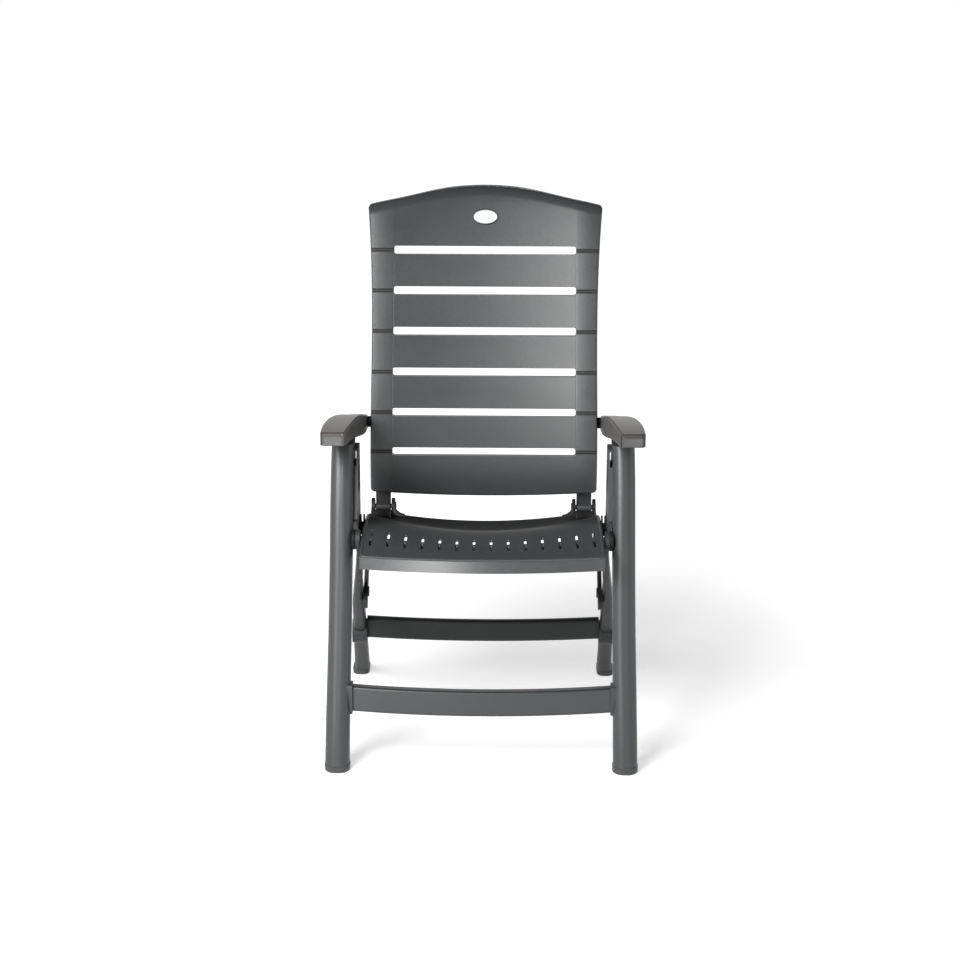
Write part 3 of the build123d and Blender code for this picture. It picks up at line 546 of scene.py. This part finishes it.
def slotPath(centreZ, out):  # round the slot, this far outside it, from the right end's middle
    half, tall, radius = slots["halfLong"] + out, slots["halfTall"] + out, slots["corner"] + out
    path = []
    for quarter, (sideX, sideZ) in enumerate(((1, 1), (-1, 1), (-1, -1), (1, -1))):
        centre = (sideX * (half - radius), centreZ + sideZ * (tall - radius))
        path += arc(centre, radius, 90 * quarter, 90 * (quarter + 1), backRibs["cornerSteps"])
        if sideX == sideZ:  # the long stretches follow the board's curve in a few steps
            fromX, z = path[-1]
            path += [(x, z) for x in between(fromX, -centre[0], backRibs["straightSteps"])[1:-1]]
    return path


def makeBackRibs():
    board = surfaceOf("backrest")
    form = bmesh.new()

    def rearY(x, z):  # the board's rear face there
        return landing(board, (x, farOff, z), (0, -1, 0))[0].y

    slotHeights = [slots["firstZ"] + slots["pitch"] * number for number in range(slots["count"])]
    for centreZ in slotHeights:
        inside = slotPath(centreZ, backRibs["rimGap"])
        outside = slotPath(centreZ, backRibs["rimGap"] + backRibs["rimThick"])
        sections = []
        for (innerX, innerZ), (outerX, outerZ) in zip(inside, outside):
            floor = rearY(outerX, outerZ)
            low, high = floor - backRibs["rimSunk"], floor + backRibs["rimHigh"]
            sections.append([
                (innerX, low, innerZ), (innerX, high, innerZ), (outerX, high, outerZ), (outerX, low, outerZ),
            ])
        swept(form, sections, closed=True)
    edge = slots["halfTall"] + backRibs["rimGap"] + backRibs["rimThick"] / 2
    spans = [(backRibs["lowest"], slotHeights[0] - edge), (slotHeights[-1] + edge, backRibs["highest"])]
    spans += [(low + edge, high - edge) for low, high in zip(slotHeights, slotHeights[1:])]
    for across in backRibs["ribAcross"]:
        left, right = across - backRibs["ribHalf"], across + backRibs["ribHalf"]
        for low, high in spans:
            sections = []
            for z in between(low, high, backRibs["ribSteps"]):
                floor = rearY(across, z)
                near, far = floor - backRibs["ribSunk"], floor + backRibs["ribHigh"]
                sections.append([(left, near, z), (left, far, z), (right, far, z), (right, near, z)])
            swept(form, sections)
    finishPiece("backRearRibs", form, "back", backResin)


makeBackRibs()

# Seat, beneath: lengthwise and crosswise ribs under the dish
seatRibs = {
    "lengthwise": (-0.2064, -0.1376, -0.0688, 0.0, 0.0688, 0.1376, 0.2064),
    "crosswise": (0.093, 0.215, 0.3),  # depths
    "depths": (0.028, 0.384),
    "half": 0.0013,
    "drop": 0.013,
    "sunk": 0.0015,
    "crossHalfWide": 0.236,
    "steps": 24,
    "startZ": 0.2,  # the rays go up from here
    "lowestRoof": 0.37,
}


def makeSeatRibs():
    shell = surfaceOf("seat_shell")
    form = bmesh.new()

    def curtain(places, across):  # hangs from the dish along these places
        sections = []
        for x, depth in places:
            roof, _ = landing(shell, (x, depth + frontFeetY, seatRibs["startZ"]), (0, 0, 1))
            if roof is None or roof.z < seatRibs["lowestRoof"]:
                continue
            top, low = roof.z + seatRibs["sunk"], roof.z - seatRibs["drop"]
            near, far = Vector((x, roof.y, 0)) - across, Vector((x, roof.y, 0)) + across
            sections.append([
                (near.x, near.y, top), (near.x, near.y, low), (far.x, far.y, low), (far.x, far.y, top),
            ])
        swept(form, sections)

    for x in seatRibs["lengthwise"]:
        places = [(x, depth) for depth in between(*seatRibs["depths"], seatRibs["steps"])]
        curtain(places, Vector((seatRibs["half"], 0, 0)))
    for depth in seatRibs["crosswise"]:
        half = seatRibs["crossHalfWide"]
        places = [(x, depth) for x in between(-half, half, seatRibs["steps"])]
        curtain(places, Vector((0, seatRibs["half"], 0)))
    finishPiece("seatUnderRibs", form, "seat", seatResin)


makeSeatRibs()

# Seat: rolled bead round its top edge, along both sides and the front
seatBead = {
    "radius": 0.003,
    "sideX": 0.2389,
    "frontDepth": 0.0222,
    "rearDepth": 0.388,
    "rise": -0.0014,
    "cornerRound": 0.007,
    "sideSteps": 24,
    "cornerSteps": 6,
    "frontSteps": 12,
    "facets": 12,
    "inset": 0.995,  # the seat's height is taken a little inside the bead
}


def beadPath():  # x and depth, from the right side's rear end to the left's
    bend = seatBead["cornerRound"]
    straightX, straightDepth = seatBead["sideX"] - bend, seatBead["frontDepth"] + bend
    depths = between(seatBead["rearDepth"], straightDepth, seatBead["sideSteps"])
    path = [(seatBead["sideX"], depth) for depth in depths]
    path += arc((straightX, straightDepth), bend, 0, -90, seatBead["cornerSteps"])[1:-1]
    path += [(x, seatBead["frontDepth"]) for x in between(straightX, 0.0, seatBead["frontSteps"])]
    return path + [(-x, depth) for x, depth in reversed(path[:-1])]


def makeSeatBead():
    shell = surfaceOf("seat_shell")
    centres = []
    for x, depth in beadPath():
        y = depth + frontFeetY
        roof, _ = landing(shell, (x * seatBead["inset"], y, farOff), (0, 0, -1))
        centres.append(Vector((x, y, roof.z + seatBead["rise"])))
    circle = arc((0, 0), seatBead["radius"], 0, 360, seatBead["facets"])[:-1]
    sections = []
    for index, centre in enumerate(centres):
        along = (centres[min(index + 1, len(centres) - 1)] - centres[max(index - 1, 0)]).normalized()
        out = along.cross(Vector((0, 0, 1))).normalized()
        up = out.cross(along).normalized()
        sections.append([centre + out * aside + up * above for aside, above in circle])
    form = bmesh.new()
    swept(form, sections)
    finishPiece("seatEdgeBead", form, "seat", frameResin, sharp=60.0)


makeSeatBead()

# Hinge: painted shade, a black block between each pair of ears, hollowed round the tongue, darkening the
# seat's rear there
hingeShadeBlock = {
    "inner": 0.1987,
    "outer": 0.2350,
    "pivot": (0.415, 0.434),  # depth and height
    "hollow": 0.0142,
    "turns": (203.0, 300.0),  # round the pivot, 180 in front and 270 below
    "hollowSteps": 8,
    "top": ((0.333, 0.4365), (0.360, 0.4355), (0.395, 0.4315)),
    "under": ((0.4205, 0.4165), (0.412, 0.4150), (0.396, 0.4150), (0.390, 0.404), (0.340, 0.404)),
    "edge": 0.0006,
}


def makeHingeShadeBlock(side, sign):
    start, stop = hingeShadeBlock["turns"]
    hollow = arc(hingeShadeBlock["pivot"], hingeShadeBlock["hollow"], start, stop, hingeShadeBlock["hollowSteps"])
    outline = [*hingeShadeBlock["top"], *hollow, *hingeShadeBlock["under"]]
    low, high = sorted((hingeShadeBlock["inner"] * sign, hingeShadeBlock["outer"] * sign))
    form = bmesh.new()
    extruded(form, [(low, depth + frontFeetY, z) for depth, z in outline], (high - low, 0, 0))
    softened(form, list(form.edges), hingeShadeBlock["edge"], segments=2)
    finishPiece("hingeSaddle_" + side, form, "seat", blackNylon, sharp=50.0)


for side, sign in sideSigns.items():
    makeHingeShadeBlock(side, sign)

# Hinge tongues: two pan-head screws behind each
tongueScrew = {
    "across": 0.217,
    "heights": (0.487, 0.506),
    "turned": (0.4, 1.4),  # radians, each head's cross
    "radius": 0.0044,
    "high": 0.0022,
    "sunk": 0.0002,
    "rings": 9,
    "spokes": 32,
    "recess": 0.0012,
    "recessHalf": 0.17,  # of the radius
    "recessReach": 0.62,
}


def screwHead(form, place, out, turned):
    side = out.cross(Vector((0, 0, 1))).normalized()
    up = side.cross(out).normalized()
    middle = form.verts.new(place + out * (tongueScrew["high"] - tongueScrew["recess"]))
    rows = []
    for share in between(0.0, 1.0, tongueScrew["rings"])[1:]:
        row = []
        for aside, above in arc((0, 0), share, 0, 360, tongueScrew["spokes"])[:-1]:
            high = tongueScrew["high"] * (1 - share ** 4) - tongueScrew["sunk"]
            across = aside * math.cos(turned) - above * math.sin(turned)
            along = aside * math.sin(turned) + above * math.cos(turned)
            inCross = min(abs(across), abs(along)) < tongueScrew["recessHalf"]
            if inCross and share < tongueScrew["recessReach"]:
                high -= tongueScrew["recess"]
            offset = (side * aside + up * above) * tongueScrew["radius"]
            row.append(form.verts.new(place + offset + out * high))
        rows.append(row)
    for point, after in zip(rows[0], rows[0][1:] + rows[0][:1]):
        form.faces.new((middle, point, after))
    for first, second in zip(rows, rows[1:]):
        bridged(form, second, first)
    form.faces.new(rows[-1])


def makeTongueScrews(side, sign):
    tongue = surfaceOf("hinge_tongue_" + side)
    form = bmesh.new()
    for height, turned in zip(tongueScrew["heights"], tongueScrew["turned"]):
        place, normal = landing(tongue, (tongueScrew["across"] * sign, farOff, height), (0, -1, 0))
        screwHead(form, place, normal.normalized(), turned)
    finishPiece("tongueScrews_" + side, form, "back", coatedSteel, sharp=30.0)


for side, sign in sideSigns.items():
    makeTongueScrews(side, sign)

# Armrests: a raised panel on each front face
armFascia = {
    "inner": 0.2757,
    "outer": 0.3125,
    "low": 0.6578,
    "high": 0.6752,
    "depth": 0.055,  # of the armrest's front face
    "proud": 0.0013,
    "sunk": 0.003,
    "corner": 0.0012,
    "cornerSteps": 4,
    "edge": 0.0007,
}


def makeArmFascia(side, sign):
    corner = armFascia["corner"]
    frontY = armFascia["depth"] + frontFeetY - armFascia["proud"]
    left, right = sorted((armFascia["inner"] * sign, armFascia["outer"] * sign))
    left, right = left + corner, right - corner
    low, high = armFascia["low"] + corner, armFascia["high"] - corner
    outline = []
    for quarter, centre in enumerate(((right, high), (left, high), (left, low), (right, low))):
        outline += arc(centre, corner, 90 * quarter, 90 * (quarter + 1), armFascia["cornerSteps"])
    form = bmesh.new()
    extruded(form, [(x, frontY, z) for x, z in outline], (0, armFascia["proud"] + armFascia["sunk"], 0))
    front = [
        edge for edge in form.edges
        if all(math.isclose(vertex.co.y, frontY, abs_tol=1e-6) for vertex in edge.verts)
    ]
    softened(form, front, armFascia["edge"], segments=3)
    finishPiece("armFascia_" + side, form, "arm_" + side, fasciaResin)


for side, sign in sideSigns.items():
    makeArmFascia(side, sign)
print("pieces made")

# Studio
studio = {
    "floorSize": 60.0,
    "floorShade": 0.70,
    "floorPaler": 0.02,  # where the floor is cloudy
    "floorCloudScale": 2.0,
    "floorRoughness": 0.9,
    "seenNear": 0.62,  # extra white that the camera sees on the floor round the chair
    "shadowReach": (0.5, 1.7),  # from the chair, over which the floor turns plain white
    "skyLow": 0.24,  # light from round the horizon
    "skyHigh": 0.06,  # and from overhead
    "skyFrom": (0.3, 0.75),  # where a direction's z turns from the one to the other
    "aimHeight": 0.6,  # of the place that the softboxes look at
}
softboxes = {  # direction from the chair in degrees, 0 in front and plus to the right, then metres and watts
    "keyBox": {"around": -32.0, "up": 33.0, "far": 3.2, "wide": 1.5, "tall": 1.7, "power": 140.0},
    "frontBox": {"around": -22.0, "up": 5.0, "far": 4.6, "wide": 1.6, "tall": 0.9, "power": 46.0},
    "rightBox": {"around": 75.0, "up": 8.0, "far": 3.0, "wide": 0.6, "tall": 2.2, "power": 8.0},
}
camera = {
    "distance": 3.5934,  # in front of the front feet
    "aside": 0.0231,
    "height": 1.56,
    "pitch": 14.9,  # degrees, downwards
    "roll": 0.252,
    "yaw": 0.445,
    "lens": 72.1,  # millimetres, and so is the sensor
    "sensor": 36,
}
white = (1.0, 1.0, 1.0)


def lightPath(tree, ray):
    return tree.node("ShaderNodeLightPath", None, None, ray)


def seenDirectly(tree):  # 1 for the camera, for reflections and through glass
    seen = lightPath(tree, "Is Camera Ray") + lightPath(tree, "Is Glossy Ray")
    seen = seen + lightPath(tree, "Is Transmission Ray")
    return tree.node("ShaderNodeMath", {"operation": "MINIMUM"}, {0: seen, 1: 1.0})


def makeFloor():
    mesh = bpy.data.meshes.new("studioFloor")
    half = studio["floorSize"] / 2
    corners = [(-half, -half, 0), (half, -half, 0), (half, half, 0), (-half, half, 0)]
    mesh.from_pydata(corners, [], [(0, 1, 2, 3)])
    floor = placed("studioFloor", mesh)
    tree = NodeTree("floorPale")
    place = objectPlace(tree)
    dull = (studio["floorShade"],) * 3
    pale = (studio["floorShade"] + studio["floorPaler"],) * 3
    cloud = noise(tree, place, studio["floorCloudScale"], detail=2.0, roughness=0.5)
    lit = principled(tree, {
        "Base Color": mixColor(tree, cloud, dull, pale),
        "Roughness": studio["floorRoughness"], "Specular IOR Level": 0.0,
    })
    distance = tree.node("ShaderNodeVectorMath", {"operation": "LENGTH"}, {0: place}, "Value")
    away = smoothly(tree, distance, *studio["shadowReach"], studio["seenNear"], 1.0)
    glow = tree.node("ShaderNodeEmission", None, {"Color": white, "Strength": away * seenDirectly(tree)})
    mesh.materials.append(tree.finishWith(tree.node("ShaderNodeAddShader", None, {0: lit, 1: glow})))


def makeWorld():  # pale round the horizon and darker overhead, as a studio's ceiling is
    world = bpy.data.worlds.new("studioWorld")
    bpy.context.scene.world = world
    tree = NodeTree("worldPale", world)
    direction = tree.node("ShaderNodeTexCoord", None, None, "Generated")
    height = smoothly(tree, axis(tree, direction, "Z"), *studio["skyFrom"])
    low, high = studio["skyLow"], studio["skyHigh"]
    lit = low + height * (high - low)
    mirrored = 1.0 + height * (high - 1.0)
    seen = lightPath(tree, "Is Camera Ray")
    strength = seen + (1.0 - seen) * (lit + lightPath(tree, "Is Glossy Ray") * (mirrored - lit))
    light = tree.node("ShaderNodeBackground", None, {"Color": white, "Strength": strength})
    tree.node("ShaderNodeOutputWorld", None, {"Surface": light})


def makeSoftbox(name, box):
    data = bpy.data.lights.new(name, "AREA")
    data.shape = "RECTANGLE"
    data.size = box["wide"]
    data.size_y = box["tall"]
    data.energy = box["power"]
    lamp = placed(name, data)
    around, up = math.radians(box["around"]), math.radians(box["up"])
    away = Vector((math.sin(around) * math.cos(up), -math.cos(around) * math.cos(up), math.sin(up)))
    lamp.location = Vector((0, 0, studio["aimHeight"])) + away * box["far"]
    lamp.rotation_euler = (-away).to_track_quat("-Z", "Y").to_euler()


def makeCamera():
    data = bpy.data.cameras.new("studioCamera")
    data.lens = camera["lens"]
    data.sensor_width = camera["sensor"]
    eye = placed("studioCamera", data)
    place = Matrix.Translation((camera["aside"], frontFeetY - camera["distance"], camera["height"]))
    for turn, way in ((camera["yaw"], "Z"), (90 - camera["pitch"], "X"), (camera["roll"], "Z")):
        place = place @ Matrix.Rotation(math.radians(turn), 4, way)
    eye.matrix_world = place
    bpy.context.scene.camera = eye


makeFloor()
makeWorld()
for name, box in softboxes.items():
    makeSoftbox(name, box)
makeCamera()
bpy.context.scene.view_settings.view_transform = "Standard"
print("studio made")
